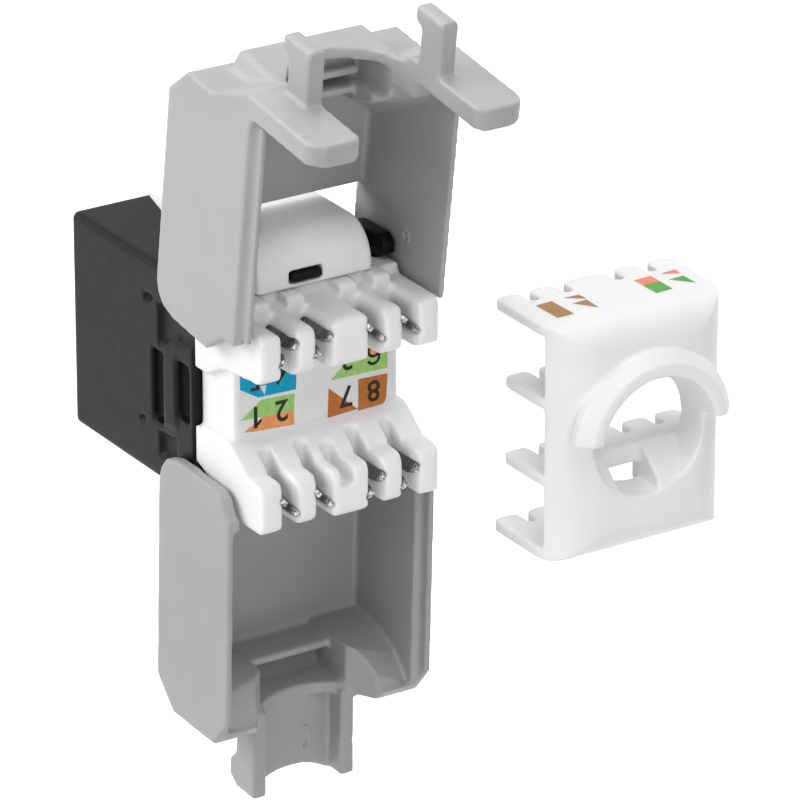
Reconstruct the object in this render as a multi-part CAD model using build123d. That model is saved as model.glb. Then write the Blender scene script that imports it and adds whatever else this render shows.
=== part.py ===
from build123d import *
import os

# Tool-free keystone jack for eight wires, shown with both flaps open.
# Frame: the origin is the centre of the plug mouth, +Y points out of the mouth
# towards the plug, -Y runs along the cable, +Z is the latch side. Millimetres.

# Housing
BODY_W = 14.5            # width of the housing across its flanks
BODY_H = 16.2            # height of the housing
BODY_L = 16.7            # mouth to the rear rim
CORNER_R = 0.45          # edge rounding of the housing
PORT_W = 11.9            # plug opening
PORT_TOP = 3.5
PORT_BOTTOM = -3.3
PORT_DEPTH = BODY_L - 4.4
TAB_W = (6.3, 3.9)       # two steps of the plug's tab channel
TAB_DROP = (1.5, 2.9)
REAR_WALL = 1.0          # wall round the rear cavity
CAVITY_H = 13.9
RUN = 0.05               # running clearance of pins and slides
SEAT = 0.03              # clearance of a pressed seat

# Hinges of the two flaps, the same height above and below the middle
HINGE_Y = -BODY_L - 0.05
HINGE_Z = 7.0
PIN_R = 1.1
LUG_R = 1.85
LUG_T = 0.95

# Terminal block
BLOCK_W = BODY_W - 0.2
BLOCK_H = 14.8
BLOCK_FRONT = -BODY_L - 9.0
PLUG_RIM = 1.3           # the block's rim inside the housing
SLOT_FLOOR = BLOCK_FRONT + 3.7
SLOT_X = (-4.85, -2.1, 2.1, 4.85)
SLOT_W = 0.95
WEB_W = BLOCK_W - 1.1             # middle of the block, between the two banks
PANEL_Y = -BODY_L - 4.4          # face that carries the label
PANEL_Z = (-1.9, 3.3)
ROOT_W = 1.4
ROOT_TOP = 8.2
ROOT_BACK = SLOT_FLOOR + 1.9
SHOULDER_R = 0.85        # rounding of the posts along the slots
NARROW_TIP_R = 1.25      # rounding of the tips, narrow and wide posts
WIDE_TIP_R = 0.8
FLARE = (0.25, 0.9)      # how far the slots widen at the tips, and over what length
GROOVE_X = (-0.8, 0.25)  # short groove in the lower middle post
GROOVE_FLOOR = -5.1

# Insulation displacement contacts
BLADE_T = 0.36
BLADE_W = 2.2
BLADE_TIP = BLOCK_FRONT + 0.15
BLADE_BASE = -BODY_L - 0.6
BLADE_LEVEL = 5.7        # above and below the middle
BLADE_TILT = 45.0
TAIL_RISE = 0.1          # shift of a tail towards the raised edge
FORK_GAP = 0.36
TAIL_W = 0.5

# Circuit board
BOARD_W = BODY_W - 2 * REAR_WALL - 0.5
BOARD_H = 13.6
BOARD_T = 1.0
BOARD_BACK = -BODY_L + 1.3
PIN_CLEAR = 0.05

# Spring contacts and the insert that guides them
CONTACT_PITCH = 1.02
CONTACT_COUNT = 8
CONTACT_D = 0.4
CONTACT_LEVEL = 5.3
CONTACT_BEND_Y = -3.6
CONTACT_BEND_R = 0.75
CONTACT_END = (-10.6, 1.9)
CONTACT_ROWS = (5.3, 6.3)
INSERT_W = 11.4
INSERT_Z = (3.6, 6.4)
INSERT_FRONT = -4.6

# Flaps, measured closed
FLAP_W = BODY_W + 2.3
FLAP_WALL = 0.9
FLAP_TOP = 10.1          # outer height of a closed flap above the middle
FLAP_END = BLOCK_FRONT - 8.65          # outer face of the end wall
FLAP_CHAMFER = (2.15, 2.2)
PARTING = -0.42          # height where the closed flaps meet
PARTING_GAP = 0.16
UPPER_REAR = HINGE_Y + 1.4        # rear edge of the upper flap's side walls
LOWER_REAR = HINGE_Y + 2.1
LOWER_CORNER = (2.25, 1.75)
UPPER_ROOF_START = HINGE_Y - 5.05 # the roof starts behind the latch hood
LOWER_ROOF_START = HINGE_Y - 1.85
UPPER_OPEN = 82.0        # opening shown in the photo, in degrees
LOWER_OPEN = 92.3
CHANNEL_W = 7.0          # cable channel between the cheeks
CHEEK_START = FLAP_END + 3.85
CHEEK_LEVELS = (9.8, 7.8, 6.0, 4.75, 3.7, 2.85, 2.05)
UPPER_CHEEK = ((0.1, 0.0, -0.2, -0.5, -0.9, -1.4, -2.1),    # along the channel
               (3.3, 2.45, 1.3, 0.45, -0.25, -0.85, -1.45)) # along the side wall
LOWER_CHEEK = ((0.0, 0.0, 0.0, 0.05, 0.05, -0.6, -1.2),
               (0.1, -0.15, -0.45, -0.9, -1.45, -2.2, -3.2))
RIB_T = 0.6
UPPER_RIBS = (FLAP_END + 2.25, FLAP_END + 0.75)
LOWER_RIBS = (FLAP_END + 2.85,)
UPPER_RIB_EDGE = 5.2
LOWER_RIB_EDGE = 6.2
LAP_T = 0.38             # tongue on the upper free edges
LAP_REACH = 0.9
REBATE_T = 0.46          # rebate in the lower free edges
REBATE_DEPTH = 1.1

# Cable exit of the upper flap
PAD_W = 9.7
PAD_RISE = 1.35
PAD_TOP = 7.1
ARCH_W = 9.0
ARCH_TOP = 4.8
LOWER_ARCH_R = 5.3
LOWER_ARCH_RUN = 4.2     # how far the round cut runs into the lower cheeks
ARM_IN = 4.55
ARM_TIP = -8.3
ARM_FACE = FLAP_END - 0.4          # inner face of the arms, outside the lower flap
ARM_T = 1.6
POST_X = (4.55, 5.85)
POST_Z = (-3.1, -0.5)
POST_END = ARM_FACE - 5.65
HOOK_REACH = 0.8
HOOK_T = 1.1

# Cable tongue of the lower flap
TONGUE_W = 8.3
TONGUE_END = FLAP_END - 6.3
TONGUE_FLOOR = -5.4
TONGUE_T = 0.9
FLANGE_TOP = -3.7
FLANGE_T = 1.1
TONGUE_HOOK = 0.7
SCOOP_R = 5.2
SCOOP_DEPTH = 0.85

# Latch
LATCH_W = 9.4
LATCH_TOP = 11.75
LATCH_REAR = -BODY_L - 4.4
LATCH_TIP = -6.3
LATCH_T = 0.95
LATCH_R = 2.9
LATCH_FOOT = 8.38
LATCH_WEB = 0.8
TAB_SLOT_GAP = 0.1
TAB_X = (-2.0, 0.5)
TAB_Z = (8.75, 9.45)
TAB_END = LATCH_REAR - 0.2

# Wire cap, shown taken off beside the jack
CAP_AT = (16.63, -28.85, -0.8)
CAP_W = 14.4
CAP_H = 17.4
CAP_FINGER = 6.1
CAP_MID_FINGER = 4.9
CAP_PLATE = 2.6
CAP_CORNER = 3.6
CAP_COMB_T = 0.85
CAP_MID_Z = (2.95, -2.75)
CAP_SLOT_W = 0.7
CAP_SLOT_DEPTH = 3.3
CAP_HOLE_R = 4.2
CAP_HOLE_MOUTH_R = 4.65
CAP_EDGE_R = 2.4         # rounding of the cap's upper and lower edge
CAP_WEB_T = 1.55
COLLAR_R = 6.4
COLLAR_RISE = 1.3
COLLAR_LOW = 0.6
COLLAR_SLOPE = 0.9

HALF_W = BODY_W / 2
HALF_H = BODY_H / 2
RIM_Y = -BODY_L          # rear rim of the housing


def block(x0, x1, y0, y1, z0, z1):
    """Box between two corners given as ranges along X, Y and Z."""
    size = (abs(x1 - x0), abs(y1 - y0), abs(z1 - z0))
    middle = ((x0 + x1) / 2, (y0 + y1) / 2, (z0 + z1) / 2)
    return Pos(*middle) * Box(*size)


def side_plate(points, x0, x1, radius=0.0):
    """Outline in Y and Z, as a plate between two places along X."""
    outline = Polyline(*[(y, z) for y, z in points], close=True)
    face = make_face(outline)
    if radius:
        face = fillet(face.vertices(), radius)
    plane = Plane(origin=(x0, 0, 0), x_dir=(0, 1, 0), z_dir=(1, 0, 0))
    return extrude(plane * face, x1 - x0)


def front_plate(face, y0, y1):
    """Face drawn in X and Z, as a plate from y0 to the lower y1."""
    plane = Plane(origin=(0, y0, 0), x_dir=(1, 0, 0), z_dir=(0, -1, 0))
    return extrude(plane * face, y0 - y1)


def plan_plate(face, z0, z1):
    """Face drawn in X and Y, as a plate from z0 up to z1."""
    return extrude(Plane.XY.offset(z0) * face, z1 - z0)


def rod_x(radius, x0, x1, y, z):
    """Round rod along X."""
    return Pos((x0 + x1) / 2, y, z) * Rot(0, 90, 0) * Cylinder(radius, abs(x1 - x0))


def both_sides(shape):
    """The shape and its mirror image across the middle plane."""
    return shape + mirror(shape, Plane.YZ)


# Housing

def housing_shell():
    """Outer body with rounded edges and the rear cavity."""
    body = block(-HALF_W, HALF_W, 0, -BODY_L, -HALF_H, HALF_H)
    body = fillet(body.edges().filter_by(Axis.Y), CORNER_R)
    body = chamfer(body.faces().sort_by(Axis.Y)[-1].edges(), 0.3)
    inner = HALF_W - REAR_WALL
    body -= block(-inner, inner, -PORT_DEPTH - 0.9, -BODY_L, -CAVITY_H / 2, CAVITY_H / 2)
    return body


def plug_port():
    """Cavity for the plug: stepped channel below for its tab."""
    cut = block(-PORT_W / 2, PORT_W / 2, 1, -PORT_DEPTH, PORT_BOTTOM, PORT_TOP)
    for width, drop in zip(TAB_W, TAB_DROP):
        cut += block(-width / 2, width / 2, 1, -PORT_DEPTH, PORT_BOTTOM - drop, 0)
    return cut


def insert_bay():
    """Bay above the port for the contact insert, open to the rear cavity."""
    low, high = INSERT_Z
    half = INSERT_W / 2 + SEAT
    return block(-half, half, INSERT_FRONT + 2.2, -PORT_DEPTH - 1, PORT_TOP - 0.2, high + SEAT)


def flank_relief():
    """Moulded pockets, stop bars and snap windows of one flank."""
    face = HALF_W
    out = face + 1
    cut = block(face - 0.75, out, RIM_Y + 5.6, RIM_Y + 4.1, -3.75, 1.7)
    cut += block(face - 0.75, out, RIM_Y + 2.2, RIM_Y + 0.6, -2.45, 1.9)
    cut += side_plate([(RIM_Y + 4.7, 5.4), (RIM_Y - 0.3, 5.4), (RIM_Y - 0.3, 3.7),
                       (RIM_Y + 4.7, 2.2)], face - 0.35, out)
    cut += side_plate([(RIM_Y + 4.7, -4.3), (RIM_Y + 2.3, -4.2), (RIM_Y + 2.3, -5.9),
                       (RIM_Y + 4.7, -6.2)], face - 0.35, out)
    cut += side_plate([(RIM_Y + 6.6, 5.5), (RIM_Y + 4.7, 5.5), (RIM_Y + 6.6, 4.8)], face - 0.4, out)
    cut += side_plate([(RIM_Y + 8.0, -4.3), (RIM_Y + 6.7, -3.9), (RIM_Y + 6.7, -4.5)],
                      face - 0.4, out)
    return cut


def flank_bars():
    """Raised bar of one flank with its sloping upper end."""
    face = HALF_W
    front = RIM_Y + 4.0
    rear = RIM_Y + 2.3
    bar = side_plate([(front, -3.5), (front, 1.1), (rear, 2.0), (rear, -3.3)],
                     face - 0.5, face + 0.12)
    bar += side_plate([(front, 1.2), (front, 2.4), (rear, 3.4), (rear, 2.1)],
                      face - 0.5, face - 0.05)
    return bar


def hinge_lug():
    """Lug of one flank that carries the pin of one flap."""
    lug = rod_x(LUG_R, HALF_W - LUG_T, HALF_W, HINGE_Y, HINGE_Z)
    lug &= block(0, BODY_W, 0, 2 * HINGE_Y, 0, HALF_H)
    return lug


def flap_stop():
    """Ear above the rear rim that stops the open upper flap."""
    outline = [(RIM_Y + 1.6, HALF_H - 0.6), (RIM_Y + 1.6, 9.45), (RIM_Y + 0.8, 9.9),
               (RIM_Y - 2.5, 9.9), (RIM_Y - 3.1, 9.4), (RIM_Y - 3.1, 8.6), (RIM_Y - 2.4, 8.2),
               (RIM_Y - 0.3, HALF_H), (RIM_Y + 0.1, HALF_H - 0.6)]
    return side_plate(outline, HALF_W - 1.0, HALF_W)


def latch_tab():
    """Tongue of the housing that passes through the latch hood."""
    x0, x1 = TAB_X
    low, high = TAB_Z
    tab = block(x0, x1, RIM_Y + 1.5, TAB_END, low, high)
    tab += block(x0, x1, RIM_Y + 2.5, RIM_Y, HALF_H - 0.3, high)
    return tab


def panel_hook():
    """Fixed lip under the housing that catches the lower panel edge."""
    outline = [(-1.2, -HALF_H + 0.4), (-2.4, -HALF_H - 0.75), (-4.2, -HALF_H - 0.75),
               (-4.2, -HALF_H + 0.4)]
    return side_plate(outline, -3.6, 3.6)


def make_housing():
    body = housing_shell()
    body -= both_sides(flank_relief())
    body += both_sides(flank_bars())
    lugs = both_sides(hinge_lug())
    body += lugs + mirror(lugs, Plane.XY)
    body += both_sides(flap_stop())
    for level in (HINGE_Z, -HINGE_Z):
        body -= rod_x(PIN_R + RUN, -BODY_W, BODY_W, HINGE_Y, level)
    body += latch_tab()
    body += panel_hook()
    body -= insert_bay()
    body -= plug_port()
    return body


# Contacts inside the port

def contact_x(index):
    return (index - (CONTACT_COUNT - 1) / 2) * CONTACT_PITCH


def contact_level(index):
    return CONTACT_ROWS[index % 2]


def make_spring_contact(index):
    """Bent flat wire: board pin, run along the insert, return into the port."""
    level = contact_level(index)
    x = contact_x(index)
    step_y = BOARD_BACK + BOARD_T + 1.2
    route = [(BOARD_BACK - 0.5, level)]
    if level > CONTACT_LEVEL:
        route += [(step_y, level), (step_y + 1.2, CONTACT_LEVEL)]
    route += [(CONTACT_BEND_Y, CONTACT_LEVEL), (CONTACT_BEND_Y + 0.2, CONTACT_LEVEL - 1.5)]
    route += [CONTACT_END]
    radii = [0.5] * (len(route) - 4) + [CONTACT_BEND_R, 0.5]
    path = FilletPolyline(*[(x, y, z) for y, z in route], radius=radii)
    plane = Plane(origin=path @ 0, z_dir=path % 0)
    return sweep(plane * Rectangle(CONTACT_D, CONTACT_D), path=path)


def make_contact_insert():
    """Comb of insulating plastic with one groove for each spring contact."""
    low, high = INSERT_Z
    half = INSERT_W / 2
    rear = -PORT_DEPTH - 0.9
    body = block(-half, half, INSERT_FRONT, rear, low, high)
    for index in range(CONTACT_COUNT):
        x = contact_x(index)
        slot = CONTACT_D / 2 + RUN
        body -= block(x - slot, x + slot, INSERT_FRONT + 1, rear - 1, low - 1,
                      CONTACT_LEVEL + slot)
        if contact_level(index) > CONTACT_LEVEL:
            body -= block(x - slot, x + slot, rear + 1.4, rear - 1, low - 1, high + 1)
    return body


def make_circuit_board():
    front = BOARD_BACK + BOARD_T
    board = block(-BOARD_W / 2, BOARD_W / 2, front, BOARD_BACK, -BOARD_H / 2, BOARD_H / 2)
    half = CONTACT_D / 2 + PIN_CLEAR
    for index in range(CONTACT_COUNT):
        x = contact_x(index)
        level = contact_level(index)
        board -= block(x - half, x + half, front + 1, BOARD_BACK - 1, level - half, level + half)
    half = TAIL_W / 2 + PIN_CLEAR
    thick = BLADE_T / 2 + PIN_CLEAR
    for x, level in blade_places():
        shift = tail_shift(x, level)
        hole = block(shift - half, shift + half, front + 1, BOARD_BACK - 1, -thick, thick)
        board -= blade_frame(x, level) * hole
    return board


# Terminal block

def blade_places():
    """Middle of each contact, first the upper bank and then the lower one."""
    return [(x, level) for level in (BLADE_LEVEL, -BLADE_LEVEL) for x in SLOT_X]


def blade_lean(x, level):
    """1 where a contact's right edge is raised, -1 where its left edge is."""
    inward = 1 if x < 0 else -1
    return inward if level > 0 else -inward


def blade_frame(x, level):
    """Place of a contact, turned about the cable direction."""
    return Pos(x, 0, level) * Rot(0, -BLADE_TILT * blade_lean(x, level), 0)


def tail_shift(x, level):
    return TAIL_RISE * blade_lean(x, level)


def bank_side():
    """Side outline of the upper bank, from the rim to the post tips."""
    top = BLOCK_H / 2
    tip = BLOCK_FRONT
    rear = RIM_Y - 0.02
    return [(rear, 2.2), (RIM_Y - 1.6, 2.2), (RIM_Y - 3.6, PANEL_Z[1]), (tip + 2.7, 3.6),
            (tip, 3.85), (tip, top), (ROOT_BACK - 0.4, top), (ROOT_BACK - 0.2, 8.05), (rear, 8.05)]


def post_bounds():
    """Left and right flank of each post between the slots."""
    edges = [-BLOCK_W / 2]
    for x in SLOT_X:
        edges += [x - SLOT_W / 2, x + SLOT_W / 2]
    edges += [BLOCK_W / 2]
    return list(zip(edges[0::2], edges[1::2]))


def post_plan(left, right):
    """Plan of one post, narrower at its tip along the slots."""
    widen, run = FLARE
    from_left = 0 if left <= -BLOCK_W / 2 else widen
    from_right = 0 if right >= BLOCK_W / 2 else widen
    rear = SLOT_FLOOR + 0.6
    outline = Polyline((left, rear), (right, rear), (right, BLOCK_FRONT + run),
                       (right - from_right, BLOCK_FRONT), (left + from_left, BLOCK_FRONT),
                       (left, BLOCK_FRONT + run), close=True)
    face = make_face(outline)
    return fillet(face.vertices().group_by(Axis.Y)[0], 0.3)


def post_front(left, right):
    """Front view of one post, rounded along the slots."""
    inner = 3.4
    outer = BLOCK_H / 2
    x0 = left - SHOULDER_R if left <= -BLOCK_W / 2 else left
    x1 = right + SHOULDER_R if right >= BLOCK_W / 2 else right
    return Pos((x0 + x1) / 2, (inner + outer) / 2) * RectangleRounded(x1 - x0, outer - inner, SHOULDER_R)


def post_side(left, right):
    """Side view of the bank with the tip corners of one post rounded."""
    radius = NARROW_TIP_R if right - left < 2 and left > -BLOCK_W / 2 and right < BLOCK_W / 2 else WIDE_TIP_R
    face = make_face(Polyline(*bank_side(), close=True))
    face = fillet(face.vertices().group_by(Axis.X)[0], radius)
    plane = Plane(origin=(left, 0, 0), x_dir=(0, 1, 0), z_dir=(1, 0, 0))
    return extrude(plane * face, right - left)


def root_stop(x):
    """Raised stop at the root of one slot."""
    base = BLOCK_H / 2 - 0.6
    return side_plate([(ROOT_BACK, base), (ROOT_BACK, ROOT_TOP), (SLOT_FLOOR + 0.25, ROOT_TOP),
                       (SLOT_FLOOR, ROOT_TOP - 0.25), (SLOT_FLOOR, base)],
                      x - ROOT_W / 2, x + ROOT_W / 2)


def make_bank():
    """Upper bank: five posts on a common root with a stop above each slot."""
    half = BLOCK_W / 2
    top = BLOCK_H / 2
    bank = side_plate(bank_side(), -half, half)
    bank &= block(-half, half, 0, SLOT_FLOOR, 0, 2 * top)
    for left, right in post_bounds():
        post = post_side(left, right) & plan_plate(post_plan(left, right), 0, 2 * top)
        bank += post & front_plate(post_front(left, right), 0, BLOCK_FRONT - 1)
    for x in SLOT_X:
        bank += root_stop(x)
    return bank


def blade_cut(x, level):
    """Pocket for one contact: grooves in both posts and a passage for its tail."""
    half = BLADE_W / 2 + SEAT
    thick = BLADE_T / 2 + SEAT
    return blade_frame(x, level) * block(-half, half, BLOCK_FRONT - 1, RIM_Y + PLUG_RIM + 1,
                                         -thick, thick)


def label_sill():
    """Sloping sill below the label, open at the slots."""
    half = BLOCK_W / 2
    sill = side_plate([(RIM_Y - 0.8, -1.9), (PANEL_Y, -1.9), (PANEL_Y - 0.8, -2.35),
                       (PANEL_Y - 2.3, -3.5), (PANEL_Y - 2.3, -4.2), (RIM_Y - 0.8, -4.2)],
                      -half, half)
    for x in SLOT_X:
        sill -= block(x - SLOT_W / 2, x + SLOT_W / 2, SLOT_FLOOR, BLOCK_FRONT, -BLOCK_H, 0)
    return sill


def make_terminal_block():
    bank = make_bank()
    body = bank + mirror(bank, Plane.XY)
    rear = RIM_Y - 0.02
    low, high = PANEL_Z
    body += block(-WEB_W / 2, WEB_W / 2, rear, PANEL_Y, low - 0.6, high + 0.4)
    body += label_sill()
    body -= block(*GROOVE_X, PANEL_Y - 1.4, BLOCK_FRONT - 1, GROOVE_FLOOR, 0)
    inner = HALF_W - REAR_WALL - SEAT
    body += block(-inner, inner, rear + PLUG_RIM, rear, -CAVITY_H / 2 + SEAT, CAVITY_H / 2 - SEAT)
    pins = CONTACT_PITCH * CONTACT_COUNT / 2 + 0.3
    body -= block(-pins, pins, 0, BOARD_BACK - 0.9, CONTACT_ROWS[0] - 0.5, CONTACT_ROWS[1] + 0.5)
    lug_room = LUG_R + 0.15
    for level in (HINGE_Z, -HINGE_Z):
        for x0, x1 in ((-BLOCK_W, -inner), (inner, BLOCK_W)):
            body -= rod_x(lug_room, x0, x1, HINGE_Y, level)
    for x, level in blade_places():
        body -= blade_cut(x, level)
    return body


def make_blade(x, level):
    """Forked contact: two tines, a base and a tail through the board."""
    half = BLADE_W / 2
    gap = FORK_GAP / 2
    fork = BLADE_TIP + 5.0
    shift = tail_shift(x, level)
    outline = Polyline((-half, BLADE_BASE), (-half, BLADE_TIP + 0.3), (-half + 0.25, BLADE_TIP),
                       (-gap - 0.3, BLADE_TIP), (-gap, BLADE_TIP + 0.9), (-gap, fork),
                       (gap, fork), (gap, BLADE_TIP + 0.9), (gap + 0.3, BLADE_TIP),
                       (half - 0.25, BLADE_TIP), (half, BLADE_TIP + 0.3), (half, BLADE_BASE),
                       close=True)
    face = make_face(outline)
    end = BOARD_BACK + BOARD_T + 0.2
    face += Pos(shift, (BLADE_BASE - 0.1 + end) / 2) * Rectangle(TAIL_W, end - BLADE_BASE + 0.1)
    return blade_frame(x, level) * plan_plate(face, -BLADE_T / 2, BLADE_T / 2)


def make_label():
    """Thin printed film on the panel between the banks."""
    low, high = PANEL_Z
    face = Pos(0, (low + high) / 2) * RectangleRounded(WEB_W - 0.7, high - low - 0.4, 0.25)
    return front_plate(face, PANEL_Y, PANEL_Y - 0.1)


# Latch

def make_latch():
    """Spring latch: hood over the housing with a free tip near the mouth."""
    half = LATCH_W / 2
    rear = LATCH_REAR
    outer = [(LATCH_TIP, LATCH_TOP), (LATCH_TIP, LATCH_TOP - 0.8), (rear + 8.9, 9.0),
             (rear + 3.1, 8.45), (rear + 1.1, LATCH_FOOT), (rear, LATCH_FOOT),
             (rear, LATCH_TOP - LATCH_R)]
    arc = RadiusArc((LATCH_REAR, LATCH_TOP - LATCH_R), (LATCH_REAR + LATCH_R, LATCH_TOP), LATCH_R)
    line = Polyline(*outer)
    top = Line((LATCH_REAR + LATCH_R, LATCH_TOP), (LATCH_TIP, LATCH_TOP))
    face = make_face([line.edges(), arc.edges(), top.edges()])
    plane = Plane(origin=(-half, 0, 0), x_dir=(0, 1, 0), z_dir=(1, 0, 0))
    body = extrude(plane * face, LATCH_W)
    inner_half = half - LATCH_WEB
    inner = side_plate([(LATCH_TIP + 1, LATCH_TOP - LATCH_T), (LATCH_TIP + 1, 0),
                        (LATCH_REAR + LATCH_T, 0), (LATCH_REAR + LATCH_T, LATCH_TOP - LATCH_R),
                        (LATCH_REAR + LATCH_R, LATCH_TOP - LATCH_T)], -inner_half, inner_half)
    body -= inner
    x0, x1 = TAB_X
    low, high = TAB_Z
    gap = TAB_SLOT_GAP
    body -= block(x0 - gap, x1 + gap, LATCH_REAR - 1, LATCH_REAR + 2, low - gap, high + gap)
    side_edges = body.edges().filter_by(Axis.Y).group_by(Axis.Z)[-1]
    return fillet(side_edges, 0.5)


# Flaps, built closed and then opened about their hinge

def upper_outline():
    """Side outline of the closed upper flap."""
    drop, run = FLAP_CHAMFER
    rear = UPPER_REAR
    edge = PARTING + PARTING_GAP / 2
    return [(rear - 1.95, edge), (rear - 1.75, 1.2), (rear - 0.75, 2.4), (rear, 3.2),
            (rear, HINGE_Z + 0.7), (rear - 0.35, 9.0), (rear - 1.0, 9.75),
            (rear - 1.9, FLAP_TOP), (FLAP_END + drop, FLAP_TOP), (FLAP_END, FLAP_TOP - run),
            (FLAP_END, edge)]


def lower_outline():
    """Side outline of the closed lower flap, upside down."""
    drop, run = FLAP_CHAMFER
    corner, rise = LOWER_CORNER
    rear = LOWER_REAR
    edge = PARTING_GAP / 2 - PARTING
    return [(rear - 1.75, edge), (rear - 1.55, 0.9), (rear - 0.35, 1.6), (rear, 2.3),
            (rear, HINGE_Z + 0.8), (rear - 0.4, 9.1), (rear - 1.3, 9.8),
            (rear - 2.5, FLAP_TOP), (FLAP_END + drop, FLAP_TOP), (FLAP_END, FLAP_TOP - run),
            (FLAP_END, edge + rise), (FLAP_END + corner, edge)]


def flap_shell(outline, roof_start):
    """Two side walls, a roof and an end wall, open at the hinge end."""
    half = FLAP_W / 2
    outer = side_plate(outline, -half, half)
    drop, run = FLAP_CHAMFER
    wall = FLAP_WALL
    inner = half - wall
    roof = FLAP_TOP - wall
    bend = 0.38 * wall
    cavity = side_plate([(1, -2), (1, roof), (FLAP_END + drop + bend, roof),
                         (FLAP_END + wall, FLAP_TOP - run - bend), (FLAP_END + wall, -2)],
                        -inner, inner)
    shell = outer - cavity
    shell -= block(-inner, inner, 1, roof_start, 0, 2 * FLAP_TOP)
    return shell


def hinge_pins():
    """Pins moulded on the inner faces of the side walls."""
    pin = rod_x(PIN_R, HALF_W - LUG_T + 0.1, FLAP_W / 2 - 0.1, HINGE_Y, HINGE_Z)
    return both_sides(pin)


def cheek_section(steps, x):
    """Outline of a cheek at one place along X, as a face in Y and Z."""
    low = CHEEK_LEVELS[-1]
    points = [(CHEEK_START + step, level) for step, level in zip(steps, CHEEK_LEVELS)]
    points += [(FLAP_END + 0.2, low), (FLAP_END + 0.2, CHEEK_LEVELS[0])]
    plane = Plane(origin=(x, 0, 0), x_dir=(0, 1, 0), z_dir=(1, 0, 0))
    return plane * make_face(Polyline(*points, close=True))


def cable_cheeks(outline, steps):
    """Thick cheeks beside the cable channel with sloping, warped faces."""
    inner = FLAP_W / 2 - FLAP_WALL + 0.1
    beside, wall = steps
    cheek = loft([cheek_section(beside, CHANNEL_W / 2), cheek_section(wall, inner)], ruled=True)
    return both_sides(cheek) & side_plate(outline, -inner, inner)


def grip_ribs(outline, places, edge):
    """Ribs across the channel that bite the cable jacket."""
    half = CHANNEL_W / 2 + 0.2
    ribs = None
    for y in places:
        rib = block(-half, half, y, y + RIB_T, edge, FLAP_TOP - 0.4)
        ribs = rib if ribs is None else ribs + rib
    return ribs & side_plate(outline, -half, half)


def cable_arch(radius, top, y0, y1):
    """Round-topped opening for the cable, open towards the parting."""
    low = PARTING - 12
    face = Pos(0, (low + top - radius) / 2) * Rectangle(2 * radius, top - radius - low)
    face += Pos(0, top - radius) * Circle(radius)
    return front_plate(face, y0, y1)


def tie_post():
    """Post beside the cable with a hook that holds the cable tie."""
    x0, x1 = POST_X
    z0, z1 = POST_Z
    post = block(x0, x1, ARM_FACE - 0.6, POST_END, z0, z1)
    post += side_plate([(POST_END, z1 - 0.2), (POST_END, z1 + HOOK_REACH),
                        (POST_END + HOOK_T, z1 + HOOK_REACH), (POST_END + HOOK_T + 0.5, z1 - 0.2)],
                       x0, x1)
    ends = post.faces().sort_by(Axis.Y)[0].edges()
    return fillet(ends, 0.3)


def lap_arm():
    """Arm that laps over the end wall of the closed lower flap."""
    edge = PARTING - PARTING_GAP
    back = ARM_FACE - ARM_T
    outline = [(FLAP_END + 0.5, 4.5), (FLAP_END + 0.5, edge + 0.3), (ARM_FACE, edge),
               (ARM_FACE, ARM_TIP), (back, ARM_TIP), (back, 0.4), (FLAP_END - 0.1, 4.5)]
    arm = side_plate(outline, ARM_IN, FLAP_W / 2)
    corners = arm.edges().filter_by(Axis.Y).group_by(Axis.Z)[0].sort_by(Axis.X)
    arm = fillet(corners[-1:], 1.4)
    return fillet(arm.edges().filter_by(Axis.Y).group_by(Axis.Z)[0].sort_by(Axis.X)[:1], 0.8)


def lap_tongue():
    """Thin tongue on the inner half of the upper flap's free edges."""
    inner = FLAP_W / 2 - FLAP_WALL
    low = PARTING + PARTING_GAP / 2
    return block(inner, inner + LAP_T, HINGE_Y - 4.5, FLAP_END + 1.2, low - LAP_REACH, low + 0.3)


def lap_rebate():
    """Rebate for that tongue in the lower flap, drawn upside down."""
    inner = FLAP_W / 2 - FLAP_WALL
    low = PARTING_GAP / 2 - PARTING
    return block(inner - 0.5, inner + REBATE_T, HINGE_Y - 4.0, FLAP_END + 1.0, low - 0.5,
                 low + REBATE_DEPTH)


def make_upper_flap():
    outline = upper_outline()
    shell = flap_shell(outline, UPPER_ROOF_START)
    shell += cable_cheeks(outline, UPPER_CHEEK)
    edge = PARTING + PARTING_GAP / 2
    half = PAD_W / 2
    slope = 0.6
    pad = Polyline((-half - slope, 0), (-half, -PAD_RISE), (half, -PAD_RISE), (half + slope, 0),
                   close=True)
    pad_face = Pos(0, FLAP_END + 0.01) * make_face(pad)
    shell += plan_plate(pad_face, edge, PAD_TOP)
    hollow = ARCH_W / 2 - 0.3
    shell -= block(-hollow, hollow, FLAP_END + 2, FLAP_END - PAD_RISE + FLAP_WALL, edge - 1,
                   PAD_TOP - FLAP_WALL)
    shell += grip_ribs(outline, UPPER_RIBS, UPPER_RIB_EDGE)
    shell += both_sides(lap_arm() + lap_tongue())
    shell -= cable_arch(ARCH_W / 2, ARCH_TOP, CHEEK_START + 4, FLAP_END - 3)
    shell += both_sides(tie_post())
    shell += hinge_pins()
    return Pos(0, HINGE_Y, HINGE_Z) * Rot(-UPPER_OPEN, 0, 0) * Pos(0, -HINGE_Y, -HINGE_Z) * shell


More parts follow.
